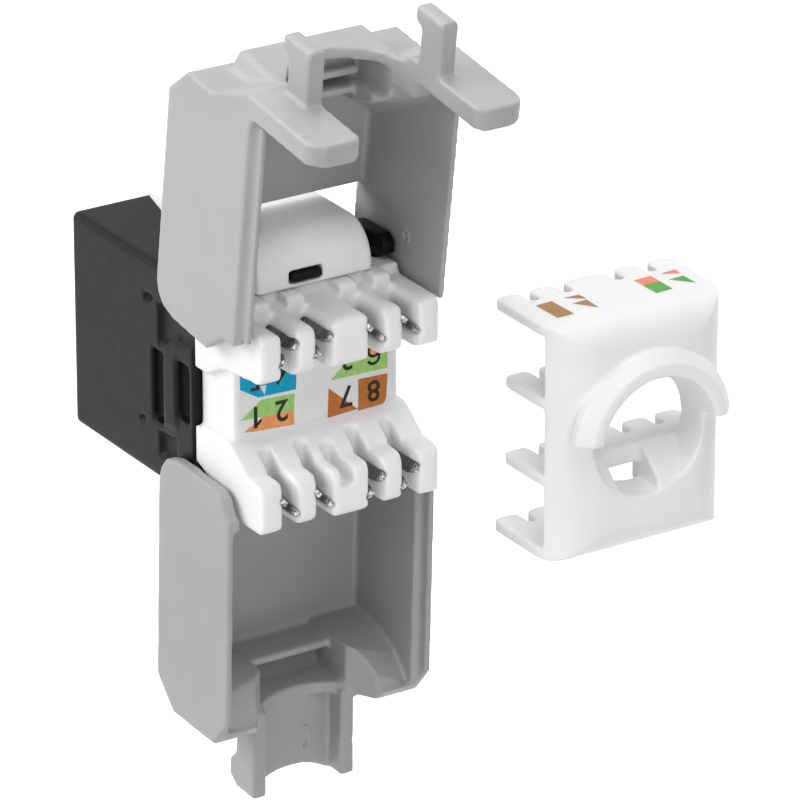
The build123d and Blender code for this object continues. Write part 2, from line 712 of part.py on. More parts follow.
def cable_tongue():
    """Channel below the cable with hooks that hold the cable tie."""
    half = TONGUE_W / 2
    start = FLAP_END + 0.5
    tongue = block(-half, half, start, TONGUE_END, TONGUE_FLOOR - TONGUE_T, TONGUE_FLOOR)
    side = block(half - FLANGE_T, half, start, TONGUE_END, TONGUE_FLOOR - TONGUE_T, FLANGE_TOP)
    hook = Polyline((half - 0.2, TONGUE_END + 2.6), (half + TONGUE_HOOK, TONGUE_END + 1.9),
                    (half + TONGUE_HOOK, TONGUE_END + 0.7), (half - 0.1, TONGUE_END),
                    (half - 0.2, TONGUE_END), close=True)
    side += plan_plate(make_face(hook), TONGUE_FLOOR - TONGUE_T, FLANGE_TOP)
    tongue += both_sides(side)
    inner = half - FLANGE_T
    scoop = Pos(0, TONGUE_END - SCOOP_R + SCOOP_DEPTH, TONGUE_FLOOR) * Cylinder(SCOOP_R, 8)
    scoop &= block(-inner, inner, 0, 2 * TONGUE_END, -20, 20)
    return tongue - scoop


def make_lower_flap():
    outline = lower_outline()
    shell = flap_shell(outline, LOWER_ROOF_START)
    shell += cable_cheeks(outline, LOWER_CHEEK)
    shell += grip_ribs(outline, LOWER_RIBS, LOWER_RIB_EDGE)
    shell += hinge_pins()
    shell -= cable_arch(LOWER_ARCH_R, -TONGUE_FLOOR, FLAP_END + LOWER_ARCH_RUN, FLAP_END - 3)
    shell -= both_sides(lap_rebate())
    shell = mirror(shell, Plane.XY)
    shell += cable_tongue()
    return Pos(0, HINGE_Y, -HINGE_Z) * Rot(LOWER_OPEN, 0, 0) * Pos(0, -HINGE_Y, HINGE_Z) * shell


# Wire cap

def cap_plan():
    """Plan of the cap with its two rounded front corners."""
    front = -CAP_FINGER - CAP_PLATE
    face = Pos(0, front / 2) * Rectangle(CAP_W, -front)
    corners = face.vertices().group_by(Axis.Y)[0]
    return fillet(corners, CAP_CORNER)


def cap_comb(level, length, depth):
    """Row of five fingers between four wire slots."""
    root = -CAP_FINGER - 0.3
    tip = length - CAP_FINGER
    face = Pos(0, (root + tip) / 2) * Rectangle(CAP_W, tip - root)
    face = face & cap_plan()
    for x in SLOT_X:
        face -= Pos(x, tip - depth / 2 + 0.5) * Rectangle(CAP_SLOT_W, depth + 1)
    tips = face.vertices().filter_by_position(Axis.Y, tip - 0.02, tip + 0.02)
    face = fillet(tips, 0.6)
    return plan_plate(face, level - CAP_COMB_T / 2, level + CAP_COMB_T / 2)


def cap_plate():
    """Front plate with rounded corners, upper and lower edge."""
    high = CAP_H / 2
    front = -CAP_FINGER - CAP_PLATE
    side = Pos((front - CAP_FINGER) / 2, 0) * Rectangle(CAP_PLATE, CAP_H)
    side = fillet(side.vertices().group_by(Axis.X)[0], CAP_EDGE_R)
    plane = Plane(origin=(-CAP_W, 0, 0), x_dir=(0, 1, 0), z_dir=(1, 0, 0))
    return plan_plate(cap_plan(), -high, high) & extrude(plane * side, 2 * CAP_W)


def cap_collar():
    """Half ring above the cable hole, sloping towards its rim."""
    front = -CAP_FINGER - CAP_PLATE
    disc = front_plate(Circle(COLLAR_R), front + 0.4, front - COLLAR_RISE)
    rim = disc.faces().sort_by(Axis.Y)[0].edges()
    disc = chamfer(rim, COLLAR_SLOPE)
    low = COLLAR_LOW
    return disc & block(-COLLAR_R, COLLAR_R, front + 1, front - 3, low, low + 2 * COLLAR_R)


def cap_hole():
    """Cable hole, slightly wider towards its mouth."""
    rear = -CAP_FINGER
    depth = CAP_PLATE + COLLAR_RISE
    cone = Cone(CAP_HOLE_R, CAP_HOLE_MOUTH_R, depth)
    return Pos(0, rear - depth / 2, 0) * Rot(90, 0, 0) * cone


def make_wire_cap():
    """Lacing cap: plate with a cable hole, half collar and four combs."""
    body = cap_plate() + cap_collar() - cap_hole()
    outer_comb = (CAP_H - CAP_COMB_T) / 2
    for level in (outer_comb, -outer_comb):
        body += cap_comb(level, CAP_FINGER, CAP_SLOT_DEPTH)
    for level in CAP_MID_Z:
        comb = cap_comb(level, CAP_MID_FINGER, CAP_SLOT_DEPTH)
        body += comb - cap_hole()
    low = CAP_MID_Z[1] - CAP_COMB_T / 2
    half = CAP_HOLE_R + 0.3
    body += block(-half, half, -CAP_FINGER, -CAP_FINGER + 1, low, low + CAP_WEB_T)
    return Pos(*CAP_AT) * body


def build_all():
    parts = {
        "housing": make_housing(),
        "contact_insert": make_contact_insert(),
        "circuit_board": make_circuit_board(),
        "terminal_block": make_terminal_block(),
        "wiring_label": make_label(),
        "latch": make_latch(),
        "flap_upper": make_upper_flap(),
        "flap_lower": make_lower_flap(),
        "wire_cap": make_wire_cap(),
    }
    for index in range(CONTACT_COUNT):
        parts["spring_contact_%d" % (index + 1)] = make_spring_contact(index)
    for number, (x, level) in enumerate(blade_places(), 1):
        parts["idc_contact_%d" % number] = make_blade(x, level)
    return parts


os.makedirs("parts", exist_ok=True)
for name, shape in build_all().items():
    export_step(shape, "parts/%s.step" % name)
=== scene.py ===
import bpy
import bmesh
import math
from mathutils import Vector, Matrix

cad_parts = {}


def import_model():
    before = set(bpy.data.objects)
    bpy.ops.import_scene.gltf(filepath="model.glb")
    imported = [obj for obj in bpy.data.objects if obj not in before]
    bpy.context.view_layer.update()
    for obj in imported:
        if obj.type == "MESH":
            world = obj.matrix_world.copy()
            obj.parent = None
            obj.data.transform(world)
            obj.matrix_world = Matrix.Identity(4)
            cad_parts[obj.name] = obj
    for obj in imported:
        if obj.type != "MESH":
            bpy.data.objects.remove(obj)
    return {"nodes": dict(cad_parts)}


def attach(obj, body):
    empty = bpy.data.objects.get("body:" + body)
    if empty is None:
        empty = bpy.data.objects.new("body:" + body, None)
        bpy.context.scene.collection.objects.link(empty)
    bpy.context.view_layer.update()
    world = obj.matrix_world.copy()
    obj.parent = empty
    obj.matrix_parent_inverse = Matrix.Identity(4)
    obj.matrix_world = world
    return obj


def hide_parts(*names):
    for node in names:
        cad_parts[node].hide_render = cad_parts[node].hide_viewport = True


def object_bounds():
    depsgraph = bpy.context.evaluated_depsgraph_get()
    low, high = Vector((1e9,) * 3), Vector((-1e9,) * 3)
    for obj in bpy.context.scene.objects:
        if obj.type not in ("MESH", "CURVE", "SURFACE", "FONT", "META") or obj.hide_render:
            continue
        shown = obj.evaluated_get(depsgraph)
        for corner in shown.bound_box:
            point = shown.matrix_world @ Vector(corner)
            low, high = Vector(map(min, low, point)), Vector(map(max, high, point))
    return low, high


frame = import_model()
CAD_LOW, CAD_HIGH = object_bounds()
NODES = frame["nodes"]
MM = 0.001


# Camera, in front of the block, from the left and from above

LENS_MM = 306.0
SENSOR_MM = 36.0
CAMERA_AT = (-225.097, -387.228, 186.299)
AZIMUTH_DEG = -32.35
RISE_DEG = 23.48
CLIP_NEAR = 0.05
CLIP_FAR = 20.0


def make_camera():
    data = bpy.data.cameras.new("view")
    data.lens = LENS_MM
    data.sensor_width = SENSOR_MM
    data.clip_start = CLIP_NEAR
    data.clip_end = CLIP_FAR
    cam = bpy.data.objects.new("view", data)
    bpy.context.scene.collection.objects.link(cam)
    cam.location = Vector(CAMERA_AT) * MM
    azimuth = math.radians(AZIMUTH_DEG)
    rise = math.radians(RISE_DEG)
    back = Vector((math.sin(azimuth) * math.cos(rise), -math.cos(azimuth) * math.cos(rise),
                   math.sin(rise)))
    cam.rotation_mode = "QUATERNION"
    cam.rotation_quaternion = (-back).to_track_quat("-Z", "Y")
    bpy.context.scene.camera = cam


# Materials

# Noise scales, in waves per metre
CLOUD_SCALE = 160.0
GLOSS_SCALE = 900.0
GRAIN_SCALE = 9000.0
DRAWN_SCALE = 1200.0
# Speckle of the painted glints on the blade tips
TIP_GLINT_SCALE = 5200.0
COVER_SCALE = 2600.0

# Depths of the fine relief, in metres
GRAIN_DEPTH = 0.00001
DRAWN_DEPTH = 0.00002
COVER_DEPTH = 0.000004

EDGE_SAMPLES = 6
LIGHT_REACH = 0.0012


def new_material(name):
    mat = bpy.data.materials.new(name)
    mat.use_nodes = True
    tree = mat.node_tree
    tree.nodes.clear()
    out = tree.nodes.new("ShaderNodeOutputMaterial")
    shader = tree.nodes.new("ShaderNodeBsdfPrincipled")
    tree.links.new(shader.outputs[0], out.inputs[0])
    return mat, tree, shader


def noise(tree, scale, detail, source=None):
    node = tree.nodes.new("ShaderNodeTexNoise")
    node.inputs["Scale"].default_value = scale
    node.inputs["Detail"].default_value = detail
    if source is None:
        source = tree.nodes.new("ShaderNodeTexCoord").outputs["Object"]
    tree.links.new(source, node.inputs["Vector"])
    return node.outputs["Fac"]


def ramp(tree, source, stops):
    node = tree.nodes.new("ShaderNodeValToRGB")
    marks = node.color_ramp.elements
    while len(marks) < len(stops):
        marks.new(0.5)
    for mark, (place, colour) in zip(marks, stops):
        mark.position = place
        mark.color = (*colour, 1.0)
    tree.links.new(source, node.inputs["Fac"])
    return node.outputs["Color"]


def spread(tree, source, low, high):
    node = tree.nodes.new("ShaderNodeMapRange")
    node.inputs["To Min"].default_value = low
    node.inputs["To Max"].default_value = high
    tree.links.new(source, node.inputs["Value"])
    return node.outputs[0]


def bump(tree, source, strength, distance, normal=None):
    node = tree.nodes.new("ShaderNodeBump")
    node.inputs["Strength"].default_value = strength
    node.inputs["Distance"].default_value = distance
    tree.links.new(source, node.inputs["Height"])
    if normal is not None:
        tree.links.new(normal, node.inputs["Normal"])
    return node.outputs["Normal"]


def soft_edge(tree, radius):
    node = tree.nodes.new("ShaderNodeBevel")
    node.samples = EDGE_SAMPLES
    node.inputs["Radius"].default_value = radius
    return node.outputs["Normal"]


def plastic(name, dark, light, rough, grain=0.12, edge=0.16, inside=0.0, gloss_level=0.4):
    """Moulded plastic: faint cloudiness, eroded gloss and fine tool texture."""
    mat, tree, shader = new_material(name)
    cloud = noise(tree, CLOUD_SCALE, 3.0)
    colour = ramp(tree, cloud, [(0.3, dark), (0.7, light)])
    tree.links.new(colour, shader.inputs["Base Color"])
    gloss = noise(tree, GLOSS_SCALE, 4.0)
    tree.links.new(spread(tree, gloss, rough - 0.06, rough + 0.08), shader.inputs["Roughness"])
    fine = noise(tree, GRAIN_SCALE, 2.0)
    normal = bump(tree, fine, grain, GRAIN_DEPTH, soft_edge(tree, edge * MM) if edge else None)
    tree.links.new(normal, shader.inputs["Normal"])
    shader.inputs["Specular IOR Level"].default_value = gloss_level
    if inside:
        shader.inputs["Subsurface Weight"].default_value = inside
        shader.inputs["Subsurface Scale"].default_value = LIGHT_REACH
        shader.inputs["Subsurface Radius"].default_value = (1.0, 0.95, 0.9)
    return mat


def metal(name, dark, light, rough, streak):
    """Plated metal with fine drawn lines."""
    mat, tree, shader = new_material(name)
    coords = tree.nodes.new("ShaderNodeTexCoord").outputs["Object"]
    mapping = tree.nodes.new("ShaderNodeMapping")
    mapping.inputs["Scale"].default_value = streak
    tree.links.new(coords, mapping.inputs["Vector"])
    lines = noise(tree, DRAWN_SCALE, 3.0, mapping.outputs["Vector"])
    tree.links.new(ramp(tree, lines, [(0.3, dark), (0.7, light)]), shader.inputs["Base Color"])
    tree.links.new(spread(tree, lines, rough - 0.08, rough + 0.1), shader.inputs["Roughness"])
    tree.links.new(bump(tree, lines, 0.3, DRAWN_DEPTH), shader.inputs["Normal"])
    shader.inputs["Metallic"].default_value = 1.0
    return mat


def paint(obj, mat):
    obj.data.materials.clear()
    obj.data.materials.append(mat)


def mould(obj, voxel, rounds):
    """Rounds the edges and corners of a moulded piece."""
    skin = obj.modifiers.new("skin", "REMESH")
    skin.mode = "VOXEL"
    skin.voxel_size = voxel * MM
    skin.use_smooth_shade = True
    soft = obj.modifiers.new("soft", "SMOOTH")
    soft.factor = 0.5
    soft.iterations = rounds


# Surroundings

FLOOR_GAP = 0.06
FLOOR_HALF = 2
PAPER_COLOUR = (0.6, 0.6, 0.6, 1)
PAPER_GLOW = 0.75
WORLD_LIGHT = 0.17
WHITE = (1, 1, 1, 1)
LAMP_AIM = (0.005, -0.02, 0.0)
LAMP_SIZE = 0.35

# Place and power of each lamp
LAMPS = {
    "back_left": ((-0.45, 0.30, 0.30), 2.6),
    "top_back": ((0.05, 0.20, 0.60), 1.8),
    "top_front": ((0.0, -0.30, 0.52), 1.35),
    "left": ((-0.55, -0.20, 0.22), 0.85),
    "front_low": ((-0.15, -0.60, 0.05), 0.9),
    "right_back": ((0.55, 0.16, 0.16), 1.0),
}


def seen_rays(tree):
    """One for what the camera, a reflection or clear material sees, else nothing."""
    path = tree.nodes.new("ShaderNodeLightPath")
    seen = path.outputs["Is Camera Ray"]
    for ray in ("Is Glossy Ray", "Is Transmission Ray"):
        most = tree.nodes.new("ShaderNodeMath")
        most.operation = "MAXIMUM"
        tree.links.new(seen, most.inputs[0])
        tree.links.new(path.outputs[ray], most.inputs[1])
        seen = most.outputs[0]
    return seen


def backdrop():
    """Pale paper far below the part; it glows where it is seen and keeps the shadow."""
    mat, tree, shader = new_material("paper")
    shader.inputs["Base Color"].default_value = PAPER_COLOUR
    shader.inputs["Roughness"].default_value = 0.9
    shader.inputs["Emission Color"].default_value = WHITE
    glow = tree.nodes.new("ShaderNodeMath")
    glow.operation = "MULTIPLY"
    glow.inputs[1].default_value = PAPER_GLOW
    tree.links.new(seen_rays(tree), glow.inputs[0])
    tree.links.new(glow.outputs[0], shader.inputs["Emission Strength"])
    mesh = bpy.data.meshes.new("floor")
    low = CAD_LOW.z - FLOOR_GAP
    half = FLOOR_HALF
    corners = [(-half, -half, low), (half, -half, low), (half, half, low), (-half, half, low)]
    mesh.from_pydata(corners, [], [(0, 1, 2, 3)])
    floor = bpy.data.objects.new("floor", mesh)
    bpy.context.scene.collection.objects.link(floor)
    paint(floor, mat)


def world():
    """White where it is seen, plain even light otherwise."""
    scene_world = bpy.data.worlds.new("studio")
    bpy.context.scene.world = scene_world
    scene_world.use_nodes = True
    tree = scene_world.node_tree
    tree.nodes.clear()
    out = tree.nodes.new("ShaderNodeOutputWorld")
    light = tree.nodes.new("ShaderNodeBackground")
    light.inputs["Color"].default_value = WHITE
    light.inputs["Strength"].default_value = WORLD_LIGHT
    white = tree.nodes.new("ShaderNodeBackground")
    white.inputs["Color"].default_value = WHITE
    mix = tree.nodes.new("ShaderNodeMixShader")
    tree.links.new(seen_rays(tree), mix.inputs[0])
    tree.links.new(light.outputs[0], mix.inputs[1])
    tree.links.new(white.outputs[0], mix.inputs[2])
    tree.links.new(mix.outputs[0], out.inputs[0])


def lights():
    for name, (place, power) in LAMPS.items():
        data = bpy.data.lights.new(name, "AREA")
        data.shape = "RECTANGLE"
        data.size = LAMP_SIZE
        data.size_y = LAMP_SIZE
        data.energy = power
        obj = bpy.data.objects.new(name, data)
        bpy.context.scene.collection.objects.link(obj)
        obj.location = place
        obj.rotation_mode = "QUATERNION"
        obj.rotation_quaternion = (Vector(LAMP_AIM) - Vector(place)).to_track_quat("-Z", "Y")


# Surfaces of the nodes

MATS = {
    "white": plastic("white_abs", (0.83, 0.83, 0.835), (0.86, 0.86, 0.865), 0.38,
                     edge=0.0, inside=0.12),
    "grey": plastic("grey_abs", (0.375, 0.375, 0.378), (0.402, 0.402, 0.405), 0.42, edge=0.0),
    "grey_low": plastic("grey_abs_lower", (0.322, 0.317, 0.322), (0.345, 0.34, 0.345), 0.42,
                        edge=0.0),
    "black": plastic("black_abs", (0.0035, 0.0035, 0.004), (0.006, 0.006, 0.0065), 0.42,
                     edge=0.0, gloss_level=0.12),
    "dark": plastic("dark_pbt", (0.015, 0.015, 0.016), (0.022, 0.022, 0.023), 0.5),
    "board": plastic("board_lacquer", (0.01, 0.07, 0.03), (0.015, 0.10, 0.045), 0.3),
    "gold": metal("gold_wire", (0.62, 0.42, 0.16), (0.80, 0.58, 0.25), 0.22, (12, 1, 12)),
    "film": plastic("label_film", (0.78, 0.78, 0.785), (0.81, 0.81, 0.815), 0.3, grain=0.05, edge=0.0),
}


# Depth over which a blade turns from scored sheet to its cut tip, which carries painted glints
TIP_Y = (-25.1, -25.4)


def blade_metal():
    """Tinned sheet: dull and scored; the cut tips get painted highlights, bright speckled glints."""
    mat = metal("tinned_bronze", (0.06, 0.06, 0.062), (0.30, 0.30, 0.305), 0.42, (1, 12, 1))
    tree = mat.node_tree
    shader = [n for n in tree.nodes if n.type == "BSDF_PRINCIPLED"][0]
    dull = shader.inputs["Base Color"].links[0].from_socket
    coords = tree.nodes.new("ShaderNodeTexCoord").outputs["Object"]
    # Painted highlight: bright speckled glints, mixed in over the cut tips below
    grain = ramp(tree, noise(tree, TIP_GLINT_SCALE, 2.0),
                 [(0.40, (0.16, 0.16, 0.16)), (0.62, (0.72, 0.72, 0.71))])
    split = tree.nodes.new("ShaderNodeSeparateXYZ")
    tree.links.new(coords, split.inputs[0])
    near = tree.nodes.new("ShaderNodeMapRange")
    near.inputs["From Min"].default_value = TIP_Y[0] * MM
    near.inputs["From Max"].default_value = TIP_Y[1] * MM
    tree.links.new(split.outputs["Y"], near.inputs["Value"])
    mix = tree.nodes.new("ShaderNodeMixRGB")
    tree.links.new(near.outputs[0], mix.inputs[0])
    tree.links.new(dull, mix.inputs[1])
    tree.links.new(grain, mix.inputs[2])
    tree.links.new(mix.outputs[0], shader.inputs["Base Color"])
    return mat


MATS["tin"] = blade_metal()

FINISH = {"housing": "black", "contact_insert": "dark", "circuit_board": "board",
          "terminal_block": "white", "wiring_label": "film", "latch": "white",
          "flap_upper": "grey", "flap_lower": "grey_low", "wire_cap": "white"}

# Moulded skins, in the flaps' closed position and about the cap's middle

HINGE_Y = -16.75
HINGE_Z = 7.0
# Turn from closed to open in degrees, and hinge height, of each flap
UPPER_TURN = (-82.0, HINGE_Z)
LOWER_TURN = (92.3, -HINGE_Z)
CAP_X = 16.63
CAP_Y = -28.85
CAP_AT = Vector((CAP_X, CAP_Y, -0.8))
CAP_TOP = 7.9
FLAP_INNER = 7.5
FLAP_END = -34.35
TONGUE_END = -40.65
TONGUE_BACK = -6.3
TONGUE_HALF = 4.15
FLANGE_T = 1.1
SLOT_X = (-4.85, -2.1, 2.1, 4.85)


def opened(angle, height):
    """Matrix that takes a closed flap to its open rest position."""
    hinge = Vector((0, HINGE_Y, height)) * MM
    turn = Matrix.Rotation(math.radians(angle), 4, "X")
    return Matrix.Translation(hinge) @ turn @ Matrix.Translation(-hinge)


def prism(bm, outline, x0, x1, place):
    """Outline in Y and Z, drawn out from x0 to x1 and put in its place."""
    near = [bm.verts.new(place @ (Vector((x0, y, z)) * MM)) for y, z in outline]
    far = [bm.verts.new(place @ (Vector((x1, y, z)) * MM)) for y, z in outline]
    faces = [bm.faces.new(near), bm.faces.new(far)]
    count = len(outline)
    for i in range(count):
        j = (i + 1) % count
        faces.append(bm.faces.new((near[i], near[j], far[j], far[i])))
    bmesh.ops.recalc_face_normals(bm, faces=faces)


def box_outline(y0, y1, z0, z1):
    return [(y0, z0), (y1, z0), (y1, z1), (y0, z1)]


def both_sides(outline, x0, x1):
    return [(outline, x0, x1), (outline, -x1, -x0)]


def shown_mesh(obj):
    """Mesh of an object with its modifiers."""
    graph = bpy.context.evaluated_depsgraph_get()
    return bpy.data.meshes.new_from_object(obj.evaluated_get(graph))


def temporary(name, mesh):
    obj = bpy.data.objects.new(name, mesh)
    bpy.context.scene.collection.objects.link(obj)
    return obj


def skin(name, body, place, adds, cuts, voxel, rounds):
    """Moulded skin of a node with small forms cut away and added."""
    node = NODES[name]
    mesh = node.data.copy()
    mesh.transform(node.matrix_world)
    work = temporary(name + "_work", mesh)
    if cuts:
        bm = bmesh.new()
        for outline, x0, x1 in cuts:
            prism(bm, outline, x0, x1, place)
        cutter_mesh = bpy.data.meshes.new(name + "_cutter")
        bm.to_mesh(cutter_mesh)
        bm.free()
        cutter = temporary(name + "_cutter", cutter_mesh)
        cut = work.modifiers.new("cut", "BOOLEAN")
        cut.operation = "DIFFERENCE"
        cut.solver = "EXACT"
        cut.object = cutter
        mesh = shown_mesh(work)
        bpy.data.objects.remove(cutter)
        work.modifiers.clear()
        work.data = mesh
    bm = bmesh.new()
    bm.from_mesh(mesh)
    for outline, x0, x1 in adds:
        prism(bm, outline, x0, x1, place)
    bm.to_mesh(mesh)
    bm.free()
    mould(work, voxel, rounds)
    final = shown_mesh(work)
    bpy.data.objects.remove(work)
    piece = temporary(name + "_skin", final)
    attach(piece, body)
    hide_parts(name)
    return piece


# Grid and rounds of smoothing of each moulded piece, the first in millimetres
MOULDED = {"housing": (0.19, 3), "terminal_block": (0.14, 8), "latch": (0.12, 3)}

for name, (voxel, rounds) in MOULDED.items():
    mould(NODES[name], voxel, rounds)

# The lap of the free edges runs on to both of their ends
LAP_T = 0.38
REBATE_T = 0.46
tongue_rear = box_outline(-21.3, HINGE_Y - 1.0, -1.24, 0.0)
tongue_front = box_outline(FLAP_END + 0.1, -33.1, -1.24, 0.0)
upper_adds = both_sides(tongue_rear, FLAP_INNER, FLAP_INNER + LAP_T)
upper_adds += both_sides(tongue_front, FLAP_INNER, FLAP_INNER + LAP_T)
rebate_rear = box_outline(-20.8, HINGE_Y - 0.5, -1.6, 0.2)
rebate_front = box_outline(FLAP_END - 0.1, -33.3, -1.6, 0.2)
lower_cuts = both_sides(rebate_rear, FLAP_INNER - 0.5, FLAP_INNER + REBATE_T)
lower_cuts += both_sides(rebate_front, FLAP_INNER - 0.5, FLAP_INNER + REBATE_T)

# The hooks for the cable tie stand on the tongue's back
HOOK_RISE = 0.85
SIDE_HOOK_TOP = -3.6
side_hook = box_outline(TONGUE_END - 0.1, TONGUE_END + 2.75, TONGUE_BACK - 0.1, SIDE_HOOK_TOP)
lower_cuts += both_sides(side_hook, TONGUE_HALF + 0.01, TONGUE_HALF + 0.9)
back_hook = [(TONGUE_END + 0.7, TONGUE_BACK - HOOK_RISE), (TONGUE_END + 1.8, TONGUE_BACK - HOOK_RISE),
             (TONGUE_END + 2.9, TONGUE_BACK + 0.1), (TONGUE_END, TONGUE_BACK + 0.1)]
lower_adds = both_sides(back_hook, TONGUE_HALF - FLANGE_T, TONGUE_HALF)

# The slots of the cap are short, and ramps close the sides of its lower window
ramp_outline = [(-5.1, -4.7), (-8.5, -4.7), (-8.5, -3.7), (-6.2, -1.75), (-5.1, -1.75)]
cap_adds = [(ramp_outline, 0.9, 4.7), (ramp_outline, -4.7, -2.3)]
SLOT_FILL = 0.4
SLOT_FILL_RISE = 0.42
for level, tip in ((8.275, 0.0), (2.95, -1.2), (-2.75, -1.2), (-8.275, 0.0)):
    root = box_outline(tip - 3.4, tip - 1.75, level - SLOT_FILL_RISE, level + SLOT_FILL_RISE)
    cap_adds += [(root, x - SLOT_FILL, x + SLOT_FILL) for x in SLOT_X]

SKINS = {
    "flap_upper": skin("flap_upper", "upper_flap", opened(*UPPER_TURN),
                       upper_adds, [], 0.16, 5),
    "flap_lower": skin("flap_lower", "lower_flap", opened(*LOWER_TURN),
                       lower_adds, lower_cuts, 0.16, 5),
    "wire_cap": skin("wire_cap", "jack", Matrix.Translation(CAP_AT * MM),
                     cap_adds, [], 0.13, 7),
}

for name, node in NODES.items():
    if name.startswith("idc_contact"):
        paint(node, MATS["tin"])
    elif name.startswith("spring_contact"):
        paint(node, MATS["gold"])
    else:
        paint(SKINS.get(name, node), MATS[FINISH[name]])


# Prints of the label and of the wire cap

def ink(name, colour):
    """Printing ink: slightly uneven cover, satin."""
    red, green, blue = colour
    dark = (red * 0.90, green * 0.90, blue * 0.90)
    light = (min(red * 1.08, 1), min(green * 1.08, 1), min(blue * 1.08, 1))
    mat, tree, shader = new_material(name)
    cover = noise(tree, COVER_SCALE, 4.0)
    tree.links.new(ramp(tree, cover, [(0.35, dark), (0.65, light)]), shader.inputs["Base Color"])
    tree.links.new(spread(tree, cover, 0.38, 0.5), shader.inputs["Roughness"])
    tree.links.new(bump(tree, cover, 0.1, COVER_DEPTH), shader.inputs["Normal"])
    shader.inputs["Specular IOR Level"].default_value = 0.2
    return mat


INKS = {
    "blue": ink("ink_blue", (0.0, 0.35, 0.57)),
    "green": ink("ink_green", (0.355, 0.63, 0.185)),
    "orange": ink("ink_orange", (0.84, 0.34, 0.12)),
    "brown": ink("ink_brown", (0.50, 0.165, 0.032)),
    "black": ink("ink_black", (0.02, 0.02, 0.018)),
    "white_film": ink("ink_white", (0.78, 0.78, 0.785)),
    "cap_brown": ink("ink_cap_brown", (0.37, 0.20, 0.08)),
    "cap_green": ink("ink_cap_green", (0.10, 0.36, 0.07)),
    "cap_orange": ink("ink_cap_orange", (0.83, 0.25, 0.16)),
}


def add_mesh(name, verts, faces, mat, body):
    mesh = bpy.data.meshes.new(name)
    mesh.from_pydata([tuple(v) for v in verts], [], faces)
    mesh.update()
    obj = bpy.data.objects.new(name, mesh)
    bpy.context.scene.collection.objects.link(obj)
    paint(obj, mat)
    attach(obj, body)
    return obj


LABEL_Y = -21.2

# Heights of the prints over the film and over the cap
FIELD_LIFT = 0.012
GAP_LIFT = 0.018
NUMBER_LIFT = 0.024

NUMBER_HEIGHT = 1.6
NUMBER_WEIGHT = 0.014
CURVE_STEPS = 4


def label_field(name, colour, corners, lift):
    """Flat print on the label; corners run in X and Z."""
    verts = [Vector((x, LABEL_Y - lift, z)) * MM for x, z in corners]
    add_mesh(name, verts, [tuple(range(len(verts)))], INKS[colour], "jack")


def cap_field(name, colour, corners):
    """Flat print on top of the wire cap; corners run in X and Y from its middle and its tips."""
    verts = [Vector((CAP_X + x, CAP_Y + y, CAP_TOP + FIELD_LIFT)) * MM for x, y in corners]
    add_mesh(name, verts, [tuple(range(len(verts)))], INKS[colour], "jack")


def digit(number, x, z):
    """Wire number, printed upside down on the label."""
    curve = bpy.data.curves.new("digit_%s" % number, "FONT")
    curve.body = str(number)
    curve.align_x = "CENTER"
    curve.resolution_u = CURVE_STEPS
    curve.offset = NUMBER_WEIGHT
    tmp = bpy.data.objects.new("digit_tmp", curve)
    bpy.context.scene.collection.objects.link(tmp)
    mesh = bpy.data.meshes.new_from_object(tmp)
    bpy.data.objects.remove(tmp)
    top = max(v.co.y for v in mesh.vertices)
    low = min(v.co.y for v in mesh.vertices)
    left = min(v.co.x for v in mesh.vertices)
    right = max(v.co.x for v in mesh.vertices)
    scale = NUMBER_HEIGHT / (top - low)
    for v in mesh.vertices:
        dx = (v.co.x - (left + right) / 2) * scale
        dz = (v.co.y - (top + low) / 2) * scale
        v.co = Vector((x - dx, LABEL_Y - NUMBER_LIFT, z - dz)) * MM
    mesh.materials.clear()
    obj = bpy.data.objects.new("wire_number_%s" % number, mesh)
    bpy.context.scene.collection.objects.link(obj)
    paint(obj, INKS["black"])
    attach(obj, "jack")


def arc(centre, radius_x, radius_y, degrees):
    return [(centre[0] + radius_x * math.cos(math.radians(a)),
             centre[1] + radius_y * math.sin(math.radians(a))) for a in degrees]


def six(x, z):
    """Wire number 6, a round bowl with a bent stem, printed upside down."""
    bowl, stem, half = 0.26, 0.29, 0.068
    path = arc((0.0, 0.5 - stem - half), stem, stem, range(25, 181, 12))
    path += [(-stem, 0.0), (-stem, -0.17)]
    path += arc((-0.02, -0.172), -bowl, bowl, range(-15, 361, 15))
    verts = []
    for i, (px, pz) in enumerate(path):
        ahead = path[min(i + 1, len(path) - 1)]
        behind = path[max(i - 1, 0)]
        along = Vector((ahead[0] - behind[0], ahead[1] - behind[1])).normalized()
        for side in (-half, half):
            right = px - along.y * side
            up = pz + along.x * side
            verts.append(Vector((x - right * NUMBER_HEIGHT, LABEL_Y - NUMBER_LIFT,
                                 z - up * NUMBER_HEIGHT)) * MM)
    faces = [(2 * i, 2 * i + 1, 2 * i + 3, 2 * i + 2) for i in range(len(path) - 1)]
    add_mesh("wire_number_6", verts, faces, INKS["black"], "jack")


